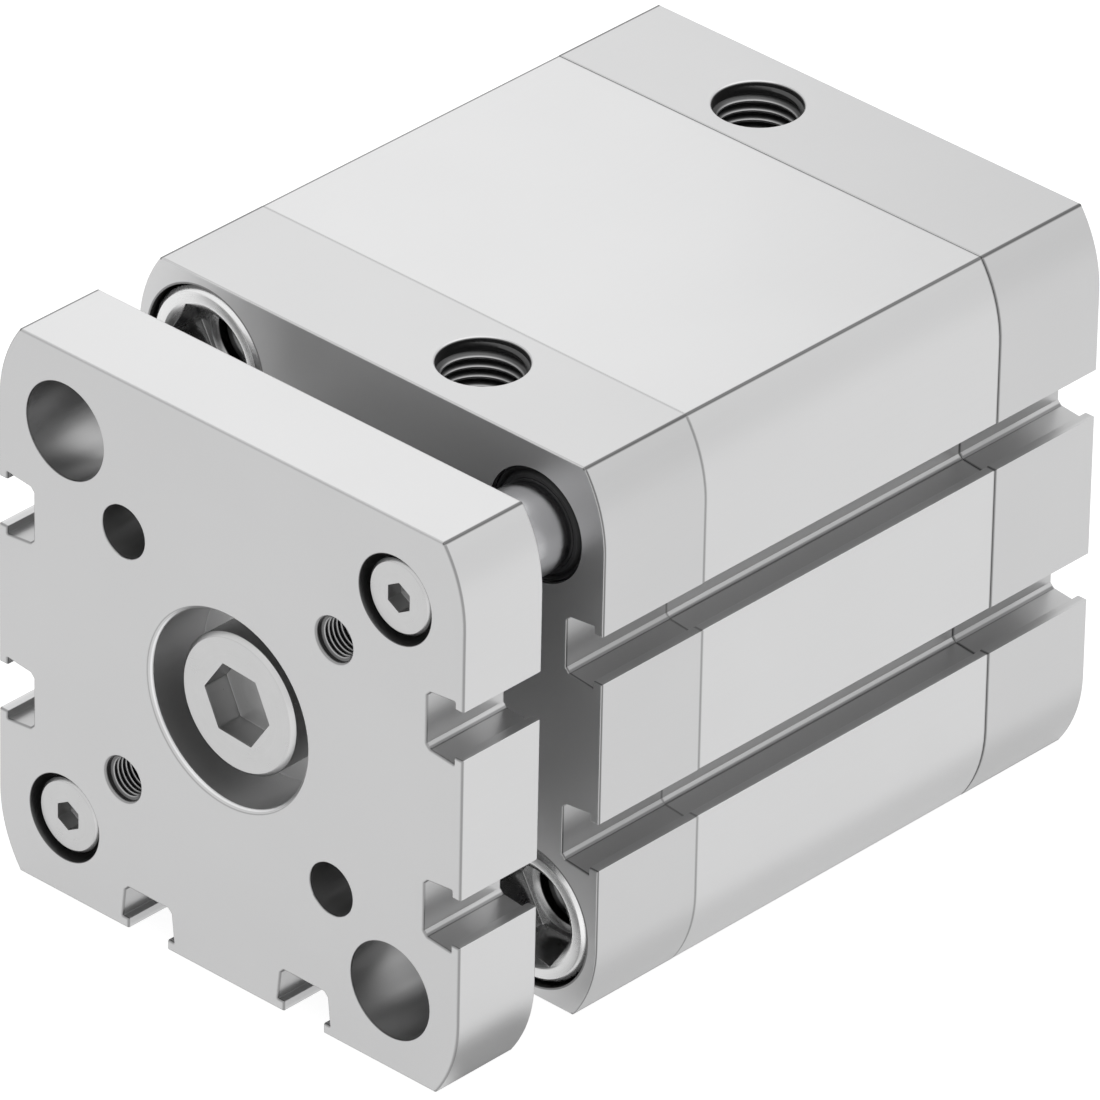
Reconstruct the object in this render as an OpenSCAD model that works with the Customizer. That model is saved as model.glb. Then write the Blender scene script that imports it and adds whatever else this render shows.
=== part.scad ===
// Guided pneumatic cylinder: a square compact cylinder whose piston rod carries a yoke plate,
// kept from turning by two guide rods that run in bushes in the bearing cap.
// X is across, +Z is up through the ports, and the working end points along -Y.
// The origin is the centre of the rear mounting face, on the cylinder's axis. Millimetres.

/* [Stroke and body] */
// Travel of the piston rod
stroke = 30; // [10:5:100]
// Diameter of the piston bore
bore_d = 50; // [46:0.5:50]
// Width of the section that plate, caps and barrel share
width = 65.5; // [65:0.5:68]
// Height of that section, from the bottom to the port face
height = 65.2; // [65:0.1:67]
// Radius of the broad rounding at each corner of the section
corner_r = 15.6; // [14:0.1:17]
// Half height of the flat sides, where the corner rounding begins
side_half = 23.4; // [22:0.1:26]
// Length of the bearing cap, at the working end
bearing_cap_len = 15; // [15:0.1:20]
// Length of the end cap
end_cap_len = 15.4; // [15:0.1:20]
// Space between yoke plate and bearing cap with the rod in
plate_gap = 8.9; // [4:0.1:20]
// Thickness of the yoke plate
plate_t = 11.5; // [11.5:0.5:16]

/* [Sensor slots] */
// Distance of a slot's middle from the middle of the face
slot_offset = 11.15; // [10.5:0.05:12]
// Width of a slot's mouth
slot_mouth = 5.65; // [4.5:0.05:6]
// Width of the pocket right behind the mouth
slot_pocket = 7.4; // [6.5:0.1:7.5]
// Width of the pocket at its floor
slot_floor = 6.7; // [5:0.1:7.4]
// Depth of a slot from the face
slot_depth = 5; // [4.2:0.05:5]
// Thickness of the lips that narrow the mouth
slot_lip = 1.15; // [0.8:0.05:1.5]

/* [Corner screws and guide rods] */
// Distance between corner holes, centre to centre
corner_pitch = 46.5; // [46:0.1:48]
// Diameter of a hollow corner screw's head
hollow_head_d = 15.8; // [14:0.1:16]
// Diameter of the thread inside a hollow corner screw
hollow_thread_d = 8; // [6:1:8]
// Diameter of a guide rod
guide_d = 10; // [8:0.5:10]
// Diameter of the piston rod
rod_d = 16; // [12:1:16]

/* [Yoke plate] */
// Diameter of the circle of small holes
plate_circle_d = 42; // [40:1:46]
// Thread in the plate for tools
plate_thread_d = 5; // [4:0.5:6]
// Dowel holes in the plate
plate_dowel_d = 6; // [4:0.5:6]
// Holes that give access to the corner screws behind the plate
access_d = 11; // [9:0.1:12]
// Counterbore of the yoke screw
yoke_bore_d = 22; // [20:0.5:24]

/* [Ports] */
// Thread diameter of the air ports
port_d = 9.72; // [8:0.01:10]
// Distance of each port from the outer face of its cap
port_inset = 8.2; // [7:0.1:9]
// Sideways offset of each port, to opposite sides
port_offset = 8; // [4:0.5:10]
// Depth of the port threads
port_depth = 9; // [7:0.5:10]

/* [Hidden] */
$fn = 96;

// Planes along Y, counted forward from the rear mounting face
piston_len = 9;
spigot_len = 2.5;
end_play = 0.3;
barrel_len = stroke + piston_len + 2 * (spigot_len + end_play);
barrel_rear = -end_cap_len;
barrel_front = barrel_rear - barrel_len;
cap_front = barrel_front - bearing_cap_len;
plate_back = cap_front - plate_gap;
plate_front = plate_back - plate_t;

// Clearances on the radius: pieces seated in one another, and faces that run on each other
seat = 0.02;
run = 0.03;
// How far a cutting body reaches past the face that it opens
past = 1;

slot_bevel = 0.5;

bore_r = bore_d / 2;
half_w = width / 2;
half_h = height / 2;
corner = corner_pitch / 2;

// Corner screws: an M12 shank with a mounting thread through it
hollow_head_r = hollow_head_d / 2;
hollow_head_h = 8;
hollow_recess = 0.1;
hollow_shank_r = 5.98;
hollow_grip = 12;
hollow_spare = 1;
hollow_len = bearing_cap_len + hollow_grip - hollow_spare;
hollow_socket_af = 10.4;
hollow_socket_h = 5.5;
hollow_mouth_r = 6.25;
hollow_mouth_h = 0.7;
screw_bevel = 0.6;
counterbore_r = hollow_head_r + 0.35;
corner_thread_r = 6;
corner_hole_r = 5.4;
cap_hole_r = 6.25;

// Bores round the piston rod
rod_r = rod_d / 2;
rod_bush_wall = 1;
rod_seal_r = rod_r + 4;
rod_seal_depth = 4.8;
rod_bush_len = 6;
cavity_r = 11;
cavity_depth = 6;
port_r = port_d / 2;
port_rim = 0.2;
passage_r = 1.5;
passage_shift = 3;

// Buffers and static seals in the spigots
spigot_r = bore_r - 0.05;
buffer_in = 13;
buffer_out = 18;
buffer_proud = 0.2;
buffer_crown = 1;
o_ring_w = 1.5;
o_ring_h = 1.4;
o_ring_inset = 0.5;
o_ring_swell = 0.56;

// Guide rods
guide_r = guide_d / 2;
guide_bore_r = guide_r + 1.4;
wiper_len = 2.5;
wiper_sink = 0.3;

// Outlines of the rod seals, each point a distance from the rod and a depth from the outer rim
rod_seal_sink = 0.4;
rod_wiping_lip = [[0, 0], [1.4, 0.6]];
rod_seal_heel = [[1.2, 1.4], [0, 0.5]];
guide_wiping_lip = [[0, 0], [0.35, 0], [0.7, 0.5]];
guide_wiper_rim = [[-0.3, 0.1], [0, 0.4], [0, wiper_len]];
guide_wiper_heel = [[0.6, wiper_len], [0.6, 1.2], [0, 0.6]];
// The inner lip of the piston rod's seal, with depths counted back from its inner rim
rod_sealing_lip = [[2.2, 0], [1.6, -0.9], [0.8, -0.9], [0.4, 0], [0, -0.4], [1.2, -1.8]];
// Outline of the piston seal's lip, as distances from the bore and depths from its outer side
piston_lip = [[-1.4, 0], [-0.9, 0.5], [-0.4, 0], [-0.07, 0.3]];

guide_end = barrel_rear - 14;
guide_seat = 3;
guide_tap_r = 2.55;
guide_tap_len = 11.5;

// Screws in the yoke plate
web = 4.5;
guide_screw_r = 2.5;
guide_screw_len = 14.5;
guide_head_r = 4.25;
guide_head_h = 3.5;
guide_socket_af = 3;
guide_socket_h = 2;
guide_socket_turn = 30;
guide_counter_r = 5;
guide_hole_r = 2.75;
yoke_counter = 7.9;
yoke_chamfer = 0.5;
yoke_screw_r = 5;
yoke_screw_len = 23.6;
yoke_head_r = 8;
yoke_head_h = 6.5;
yoke_socket_af = 8;
yoke_socket_h = 4;
yoke_socket_turn = -4;
yoke_hole_r = 5.5;
head_bevel = 0.1;
rod_seat = 1;
rod_tap_r = 5.05;
rod_tap_len = 22.5;
hole_chamfer = 0.1;
thread_chamfer = 0.25;

// Piston, which lies one end play in front of the rear spigot when the rod is in
piston_rear = barrel_rear - spigot_len - end_play;
piston_front = piston_rear - piston_len;
piston_mid = (piston_front + piston_rear) / 2;
piston_r = bore_r - 0.3;
piston_bevel = 0.4;
seal_land = 0.7;
seal_w = 1.7;
seal_root_r = bore_r - 3.2;
seal_relief = 0.5;
wear_w = 3;
wear_root_r = bore_r - 1.8;
wear_ring_r = bore_r - 0.05;
magnet_in = 16;
magnet_out = 21;
rod_end_r = 6;
nut_af = 17;
nut_h = 5;
nut_proud = 1;
piston_o_ring_at = 1.6;

// Finishes
anodised = "silver";
steel = "lightgray";
polished = "gainsboro";
rubber = [0.12, 0.12, 0.13];
bearing = "darkgoldenrod";
polymer = "dimgray";

function across_flats(af) = af / 2 / cos(30);

// Shifts an outline of radii and depths to a radius and a plane, with depths along way
function placed(points, r, y, way = 1) = [for (p = points) [r + p[0], y + way * p[1]]];

// Carries a flat shape, drawn as X and Z, along Y
module along_y(y_from, y_to) {
    translate([0, y_to, 0])
        rotate([90, 0, 0])
            linear_extrude(y_to - y_from)
                children();
}

// A round bar along Y
module bar(r, y_from, y_to) {
    translate([0, y_from, 0])
        rotate([-90, 0, 0])
            cylinder(r = r, h = y_to - y_from);
}

// A cone along Y
module taper(r_from, r_to, y_from, y_to) {
    translate([0, y_from, 0])
        rotate([-90, 0, 0])
            cylinder(r1 = r_from, r2 = r_to, h = y_to - y_from);
}

// A body turned about Y: each point is a radius and a place along Y
module turned(points) {
    rotate([-90, 0, 0])
        rotate_extrude()
            polygon(points);
}

// A plain ring along Y
module ring(r_in, r_out, y_from, y_to) {
    turned([[r_in, y_from], [r_out, y_from], [r_out, y_to], [r_in, y_to]]);
}

// Repeats a shape at the corners given as signs of X and Z
module at_corners(signs, reach = corner) {
    for (s = signs)
        translate([s[0] * reach, 0, s[1] * reach])
            children();
}

// The guide rods stand at two opposite corners and the access holes at the other two
guide_corners = [[1, 1], [-1, -1]];
open_corners = [[-1, 1], [1, -1]];
all_corners = concat(guide_corners, open_corners);

// Outline of the section: flat faces with broad arcs that meet top and bottom at an edge
module section_outline() {
    intersection() {
        square([width, height], center = true);
        union() {
            square([width, 2 * side_half], center = true);
            square([2 * (half_w - corner_r), height], center = true);
            for (sx = [-1, 1], sz = [-1, 1])
                translate([sx * (half_w - corner_r), sz * side_half])
                    circle(corner_r);
        }
    }
}

// Outline of one sensor slot that is open towards +X, in a face at that distance from the axis.
// The pocket behind the lips narrows towards its floor, whose corners are bevelled.
module slot_outline(face_at) {
    lips = face_at - slot_lip;
    bottom = face_at - slot_depth;
    flat = slot_floor / 2 - slot_bevel;
    polygon([
        [bottom, -flat], [bottom + slot_bevel, -slot_floor / 2],
        [lips, -slot_pocket / 2], [lips, -slot_mouth / 2],
        [face_at + past, -slot_mouth / 2], [face_at + past, slot_mouth / 2],
        [lips, slot_mouth / 2], [lips, slot_pocket / 2],
        [bottom + slot_bevel, slot_floor / 2], [bottom, flat]
    ]);
}

// The six slots: two in each side and two in the bottom, with none on the port face
module slot_outlines() {
    for (face = [[0, half_w], [180, half_w], [270, half_h]], side = [-1, 1])
        rotate(face[0])
            translate([0, side * slot_offset])
                slot_outline(face[1]);
}

// A length of the slotted section
module profile(y_from, y_to) {
    along_y(y_from, y_to)
        difference() {
            section_outline();
            slot_outlines();
        }
}

// Barrel: bore and four corner channels that are threaded at both ends
module barrel() {
    color(anodised)
        difference() {
            profile(barrel_front, barrel_rear);
            bar(bore_r, barrel_front - past, barrel_rear + past);
            at_corners(all_corners) {
                bar(corner_hole_r, barrel_front - past, barrel_rear + past);
                bar(corner_thread_r, barrel_front - past, barrel_front + hollow_grip);
                bar(corner_thread_r, barrel_rear - hollow_grip, barrel_rear + past);
            }
        }
}

// Seat of a hollow corner screw, for a face that looks along -Y at y_face
module screw_seat(y_face) {
    bar(counterbore_r, y_face - past, y_face + hollow_recess + hollow_head_h);
    bar(cap_hole_r, y_face, y_face + max(bearing_cap_len, end_cap_len) + past);
}

// Spigot with its O-ring groove, from the cap's inner plane out to the tip
module spigot(plane, way) {
    tip = plane + way * spigot_len;
    groove_from = plane + way * o_ring_inset;
    groove_to = groove_from + way * o_ring_w;
    turned([
        [0, plane - way * past], [spigot_r, plane - way * past], [spigot_r, groove_from],
        [bore_r - o_ring_h, groove_from], [bore_r - o_ring_h, groove_to],
        [spigot_r, groove_to], [spigot_r, tip], [0, tip]
    ]);
}

// Annular pocket for a buffer in the face of a spigot
module buffer_pocket(plane, way) {
    tip = plane + way * (spigot_len + past);
    ring(buffer_in, buffer_out, min(plane, tip), max(plane, tip));
}

// Port thread from the top face, with the drilled passage that leads to the rod cavity
module port_cut(x, y, passage_y) {
    translate([x, y, half_h - port_depth])
        cylinder(r = port_r, h = port_depth + past);
    translate([x, y, half_h - port_rim])
        cylinder(r1 = port_r, r2 = port_r + port_rim + past, h = port_rim + past);
    translate([x, passage_y, 0])
        cylinder(r = passage_r, h = half_h - port_depth + past);
}

// Bearing cap: carries the rod bush and seal, both guide bushes and the front port
module bearing_cap() {
    bush_front = cap_front + rod_seal_depth;
    cavity_front = bush_front + rod_bush_len;
    color(anodised)
        difference() {
            union() {
                profile(cap_front, barrel_front);
                spigot(barrel_front, 1);
            }
            bar(rod_seal_r + seat, cap_front - past, bush_front);
            bar(rod_r + rod_bush_wall + seat, cap_front, cavity_front);
            bar(cavity_r, cavity_front, barrel_front + spigot_len + past);
            buffer_pocket(barrel_front, 1);
            at_corners(guide_corners)
                bar(guide_bore_r + seat, cap_front - past, barrel_front + past);
            at_corners(open_corners)
                screw_seat(cap_front);
            port_cut(port_offset, cap_front + port_inset, cap_front + port_inset + passage_shift);
        }
}

// End cap: closes the barrel, takes four hollow screws and the rear port
module end_cap() {
    color(anodised)
        difference() {
            union() {
                profile(barrel_rear, 0);
                spigot(barrel_rear, -1);
            }
            bar(cavity_r, barrel_rear - spigot_len - past, barrel_rear + cavity_depth);
            buffer_pocket(barrel_rear, -1);
            mirror([0, 1, 0])
                at_corners(all_corners)
                    screw_seat(0);
            port_cut(-port_offset, -port_inset, -port_inset - passage_shift);
        }
}

// Hollow corner screw standing along Z: top of the head at 0, shank downwards
module hollow_screw() {
    difference() {
        union() {
            translate([0, 0, -hollow_head_h])
                cylinder(r = hollow_head_r, h = hollow_head_h - screw_bevel);
            translate([0, 0, -screw_bevel])
                cylinder(r1 = hollow_head_r, r2 = hollow_head_r - screw_bevel, h = screw_bevel);
            translate([0, 0, -hollow_len])
                cylinder(r = hollow_shank_r, h = hollow_len - hollow_head_h);
        }
        translate([0, 0, -hollow_socket_h])
            cylinder(r = across_flats(hollow_socket_af), h = hollow_socket_h + past, $fn = 6);
        translate([0, 0, -hollow_mouth_h])
            cylinder(r1 = hollow_mouth_r - hollow_mouth_h, r2 = hollow_mouth_r + past,
                     h = hollow_mouth_h + past);
        translate([0, 0, -hollow_len - past])
            cylinder(d = hollow_thread_d, h = hollow_len + past - hollow_socket_h);
    }
}

module bearing_cap_screws() {
    color(steel)
        translate([0, cap_front + hollow_recess, 0])
            at_corners(open_corners)
                rotate([90, 0, 0])
                    hollow_screw();
}

module end_cap_screws() {
    color(steel)
        translate([0, -hollow_recess, 0])
            at_corners(all_corners)
                rotate([-90, 0, 0])
                    hollow_screw();
}

// O-ring pressed flat between a groove and the bore around it
module squeezed_ring(r_in, r_out, y_mid, width) {
    rotate([-90, 0, 0])
        rotate_extrude()
            intersection() {
                translate([r_in, y_mid - width / 2])
                    square([r_out - r_in, width]);
                translate([(r_in + r_out) / 2, y_mid])
                    circle(r = o_ring_swell * (r_out - r_in), $fn = 32);
            }
}

module bearing_cap_o_ring() {
    color(rubber)
        squeezed_ring(bore_r - o_ring_h, bore_r, barrel_front + o_ring_inset + o_ring_w / 2, o_ring_w);
}

module end_cap_o_ring() {
    color(rubber)
        squeezed_ring(bore_r - o_ring_h, bore_r, barrel_rear - o_ring_inset - o_ring_w / 2, o_ring_w);
}

// Rubber buffer whose rounded crown stands proud of the spigot
module buffer(plane, way) {
    foot = plane;
    crown = plane + way * (spigot_len + buffer_proud);
    shoulder = plane + way * (spigot_len - buffer_proud);
    turned([
        [buffer_in + seat, foot], [buffer_out - seat, foot], [buffer_out - seat, shoulder],
        [buffer_out - buffer_crown, crown], [buffer_in + buffer_crown, crown],
        [buffer_in + seat, shoulder]
    ]);
}

module front_buffer() {
    color(rubber)
        buffer(barrel_front, 1);
}

module rear_buffer() {
    color(rubber)
        buffer(barrel_rear, -1);
}

module rod_bush() {
    front = cap_front + rod_seal_depth;
    color(bearing)
        ring(rod_r + run, rod_r + rod_bush_wall, front, front + rod_bush_len);
}

// Rod seal: a wiping lip outside and a sealing lip inside, joined by a stiff heel
module rod_seal() {
    out = cap_front + rod_seal_sink;
    in = cap_front + rod_seal_depth;
    rim = out + rod_wiping_lip[1][1];
    color(rubber)
        turned(concat(
            placed(rod_wiping_lip, rod_r + run, out),
            [[rod_seal_r, rim], [rod_seal_r, in]],
            placed(rod_sealing_lip, rod_r + run, in),
            placed(rod_seal_heel, rod_r + run, out)
        ));
}

module guide_bush() {
    ring(guide_r + run, guide_bore_r, cap_front + wiper_sink + wiper_len, barrel_front);
}

module guide_bush_upper() {
    color(bearing)
        at_corners([guide_corners[0]])
            guide_bush();
}

module guide_bush_lower() {
    color(bearing)
        at_corners([guide_corners[1]])
            guide_bush();
}

// Wiper that lies just inside the face of the bearing cap, round each guide rod
module guide_wiper() {
    out = cap_front + wiper_sink;
    turned(concat(
        placed(guide_wiping_lip, guide_r + run, out),
        placed(guide_wiper_rim, guide_bore_r, out),
        placed(guide_wiper_heel, guide_r + run, out)
    ));
}

module guide_wiper_upper() {
    color(rubber)
        at_corners([guide_corners[0]])
            guide_wiper();
}

module guide_wiper_lower() {
    color(rubber)
        at_corners([guide_corners[1]])
            guide_wiper();
}

// A through hole in the plate with a small chamfer on its outer face
module plate_hole(r, chamfer) {
    bar(r, plate_front - past, plate_back + past);
    taper(r + chamfer + past, r, plate_front - past, plate_front + chamfer);
}

// Yoke plate: joins piston rod and guide rods, and takes the tooling
module yoke_plate() {
    small = plate_circle_d / 2 / sqrt(2);
    color(anodised)
        difference() {
            profile(plate_front, plate_back);
            bar(yoke_bore_d / 2, plate_front - past, plate_front + yoke_counter);
            taper(yoke_bore_d / 2 + yoke_chamfer + past, yoke_bore_d / 2,
                  plate_front - past, plate_front + yoke_chamfer);
            bar(yoke_hole_r, plate_front, plate_back);
            bar(rod_r + seat, plate_back - rod_seat, plate_back + past);
            at_corners(guide_corners) {
                bar(guide_counter_r, plate_front - past, plate_back - guide_seat - web);
                bar(guide_hole_r, plate_front, plate_back);
                bar(guide_r + seat, plate_back - guide_seat, plate_back + past);
            }
            at_corners(open_corners)
                plate_hole(access_d / 2, hole_chamfer);
            at_corners(guide_corners, small)
                plate_hole(plate_thread_d / 2, thread_chamfer);
            at_corners(open_corners, small)
                plate_hole(plate_dowel_d / 2, hole_chamfer);
        }
}

// Piston rod: tapped at the plate, turned down where the piston sits
module piston_rod() {
    front = plate_back - rod_seat;
    end = piston_rear + nut_h + nut_proud;
    color(polished)
        difference() {
            union() {
                bar(rod_r, front, piston_front);
                bar(rod_end_r, piston_front, end - screw_bevel);
                taper(rod_end_r, rod_end_r - screw_bevel, end - screw_bevel, end);
            }
            bar(rod_tap_r, front - past, front + rod_tap_len);
        }
}

module guide_rod() {
    front = plate_back - guide_seat;
    difference() {
        union() {
            bar(guide_r, front, guide_end - screw_bevel);
            taper(guide_r, guide_r - screw_bevel, guide_end - screw_bevel, guide_end);
        }
        bar(guide_tap_r, front - past, front + guide_tap_len);
    }
}

module guide_rod_upper() {
    color(polished)
        at_corners([guide_corners[0]])
            guide_rod();
}

module guide_rod_lower() {
    color(polished)
        at_corners([guide_corners[1]])
            guide_rod();
}

// Socket head screw standing along Z: underside of the head at 0, shank downwards
module cap_screw(r, len, head_r, head_h, af, socket_h, turn) {
    bevel = head_bevel * head_r;
    difference() {
        union() {
            translate([0, 0, -len])
                cylinder(r = r, h = len);
            cylinder(r = head_r, h = head_h - bevel);
            translate([0, 0, head_h - bevel])
                cylinder(r1 = head_r, r2 = head_r - bevel, h = bevel);
        }
        translate([0, 0, head_h - socket_h])
            rotate(turn)
                cylinder(r = across_flats(af), h = socket_h + past, $fn = 6);
    }
}

module yoke_screw() {
    color(steel)
        translate([0, plate_front + yoke_counter, 0])
            rotate([90, 0, 0])
                cap_screw(yoke_screw_r, yoke_screw_len, yoke_head_r, yoke_head_h,
                          yoke_socket_af, yoke_socket_h, yoke_socket_turn);
}

module guide_rod_screws() {
    color(steel)
        translate([0, plate_back - guide_seat - web, 0])
            at_corners(guide_corners)
                rotate([90, 0, 0])
                    cap_screw(guide_screw_r, guide_screw_len, guide_head_r, guide_head_h,
                              guide_socket_af, guide_socket_h, guide_socket_turn);
}

// Half of the piston: a land, a seal groove and a shoulder that holds wear ring and magnet.
// way is +1 for the half whose outer face looks forward, -1 for the rear half.
module piston_half(way) {
    face = piston_mid - way * piston_len / 2;
    groove = face + way * seal_land;
    groove_end = groove + way * seal_w;
    shoulder = piston_mid - way * wear_w / 2;
    difference() {
        turned([
            [rod_end_r + seat, face], [piston_r - piston_bevel, face],
            [piston_r, face + way * piston_bevel],
            [piston_r, groove], [seal_root_r, groove], [seal_root_r, groove_end],
            [piston_r, groove_end], [piston_r, shoulder], [wear_root_r, shoulder],
            [wear_root_r, piston_mid], [magnet_out, piston_mid], [magnet_out, shoulder],
            [magnet_in, shoulder], [magnet_in, piston_mid], [rod_end_r + seat, piston_mid]
        ]);
        if (way > 0)
            ring(rod_end_r - past, rod_end_r + o_ring_h,
                 face + piston_o_ring_at, face + piston_o_ring_at + o_ring_w);
    }
}

module piston_disc_front() {
    color(anodised)
        piston_half(1);
}

module piston_disc_rear() {
    color(anodised)
        piston_half(-1);
}

// Lip seal in its groove: the lip leans towards the pressure side
module piston_seal(way) {
    outer = piston_mid - way * (piston_len / 2 - seal_land);
    inner = outer + way * seal_w;
    turned(concat(
        [[seal_root_r, outer]],
        placed(piston_lip, bore_r, outer, way),
        [[bore_r - seal_relief, inner], [seal_root_r, inner]]
    ));
}

module piston_seal_front() {
    color(rubber)
        piston_seal(1);
}

module piston_seal_rear() {
    color(rubber)
        piston_seal(-1);
}

// Guide band that carries the piston in the bore
module wear_ring() {
    color(polymer)
        ring(wear_root_r, wear_ring_r, piston_mid - wear_w / 2, piston_mid + wear_w / 2);
}

// Plastic-bonded magnet that the sensors in the slots read
module magnet_ring() {
    color(polymer)
        ring(magnet_in, magnet_out, piston_mid - wear_w / 2, piston_mid + wear_w / 2);
}

module piston_o_ring() {
    color(rubber)
        squeezed_ring(rod_end_r, rod_end_r + o_ring_h,
                      piston_front + piston_o_ring_at + o_ring_w / 2, o_ring_w);
}

module piston_nut() {
    color(steel)
        difference() {
            translate([0, piston_rear + nut_h, 0])
                rotate([90, 0, 0])
                    cylinder(r = across_flats(nut_af), h = nut_h, $fn = 6);
            bar(rod_end_r + seat, piston_rear - past, piston_rear + nut_h + past);
        }
}

barrel();
bearing_cap();
end_cap();
bearing_cap_screws();
end_cap_screws();
bearing_cap_o_ring();
end_cap_o_ring();
front_buffer();
rear_buffer();
rod_bush();
rod_seal();
guide_bush_upper();
guide_bush_lower();
guide_wiper_upper();
guide_wiper_lower();
yoke_plate();
piston_rod();
guide_rod_upper();
guide_rod_lower();
yoke_screw();
guide_rod_screws();
piston_nut();
piston_o_ring();
piston_disc_front();
piston_disc_rear();
piston_seal_front();
piston_seal_rear();
wear_ring();
magnet_ring();
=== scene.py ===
"""Looks of a guided pneumatic cylinder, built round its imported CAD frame.

Lengths in the classes are millimetres in the frame of the CAD part: X across, Z up through the
ports, the working end towards -Y, and the origin at the centre of the rear mounting face.
Meshes are written in metres.
"""
import logging
import math
from dataclasses import dataclass, field
from enum import Enum
from typing import Any, Union

import bmesh
import bpy
import numpy as np
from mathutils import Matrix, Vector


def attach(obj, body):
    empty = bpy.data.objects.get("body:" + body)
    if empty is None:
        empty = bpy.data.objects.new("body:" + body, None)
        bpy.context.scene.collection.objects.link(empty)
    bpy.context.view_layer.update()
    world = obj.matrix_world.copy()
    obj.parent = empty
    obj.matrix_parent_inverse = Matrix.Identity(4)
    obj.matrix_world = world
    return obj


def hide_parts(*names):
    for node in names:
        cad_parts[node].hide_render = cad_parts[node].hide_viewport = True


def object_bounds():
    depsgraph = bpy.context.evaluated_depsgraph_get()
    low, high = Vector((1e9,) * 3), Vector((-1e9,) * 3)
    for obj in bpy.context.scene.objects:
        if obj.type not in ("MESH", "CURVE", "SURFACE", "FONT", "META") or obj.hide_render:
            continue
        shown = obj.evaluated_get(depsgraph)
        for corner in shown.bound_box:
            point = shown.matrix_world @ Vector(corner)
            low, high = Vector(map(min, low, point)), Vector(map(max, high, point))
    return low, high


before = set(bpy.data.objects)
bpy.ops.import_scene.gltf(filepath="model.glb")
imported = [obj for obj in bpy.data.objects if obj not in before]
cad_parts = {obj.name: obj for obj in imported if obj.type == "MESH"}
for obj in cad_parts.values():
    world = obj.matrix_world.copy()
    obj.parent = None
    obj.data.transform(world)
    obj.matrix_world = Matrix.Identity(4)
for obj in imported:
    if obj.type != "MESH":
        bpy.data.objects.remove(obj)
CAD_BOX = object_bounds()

LOG = logging.getLogger("cylinder")
MM = 0.001
Triple = tuple[float, float, float]
Span = tuple[float, float]
Value = Union["Wire", float]
Setting = Union["Wire", float, int, tuple, str]
Woven = tuple[np.ndarray, list[np.ndarray]]  # points, and groups of faces with as many corners each


# Shader maths


class Wire:
    """One output of a shader tree, which adds Math nodes when it is used in an expression."""

    def __init__(self, shader: "Shader", socket: bpy.types.NodeSocket) -> None:
        """Keeps the tree and the output of a node in it."""
        self.shader, self.socket = shader, socket

    def math(self, operation: str, *others: Value) -> "Wire":
        """The result of a Math node whose first operand is this wire."""
        return self.shader.sum(operation, self, *others)

    def __add__(self, other: Value) -> "Wire":
        """Sum."""
        return self.math("ADD", other)

    __radd__ = __add__

    def __mul__(self, other: Value) -> "Wire":
        """Product."""
        return self.math("MULTIPLY", other)

    __rmul__ = __mul__

    def __sub__(self, other: Value) -> "Wire":
        """Difference."""
        return self.math("SUBTRACT", other)

    def __rsub__(self, other: Value) -> "Wire":
        """Difference with a plain number in front."""
        return self.shader.sum("SUBTRACT", other, self)

    def __truediv__(self, other: Value) -> "Wire":
        """Quotient."""
        return self.math("DIVIDE", other)

    def __rtruediv__(self, other: Value) -> "Wire":
        """Quotient with a plain number on top."""
        return self.shader.sum("DIVIDE", other, self)

    def __pow__(self, other: Value) -> "Wire":
        """Power."""
        return self.math("POWER", other)

    def __abs__(self) -> "Wire":
        """Absolute value."""
        return self.math("ABSOLUTE")

    def most(self, other: Value) -> "Wire":
        """The larger of two values."""
        return self.math("MAXIMUM", other)

    def fade(self, start: float, end: float) -> "Wire":
        """Falls smoothly from 1 at start to 0 at end."""
        return self.shader.node(
            "ShaderNodeMapRange", {"interpolation_type": "SMOOTHSTEP"},
            {"Value": self, "From Min": start, "From Max": end, "To Min": 1.0, "To Max": 0.0})


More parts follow.
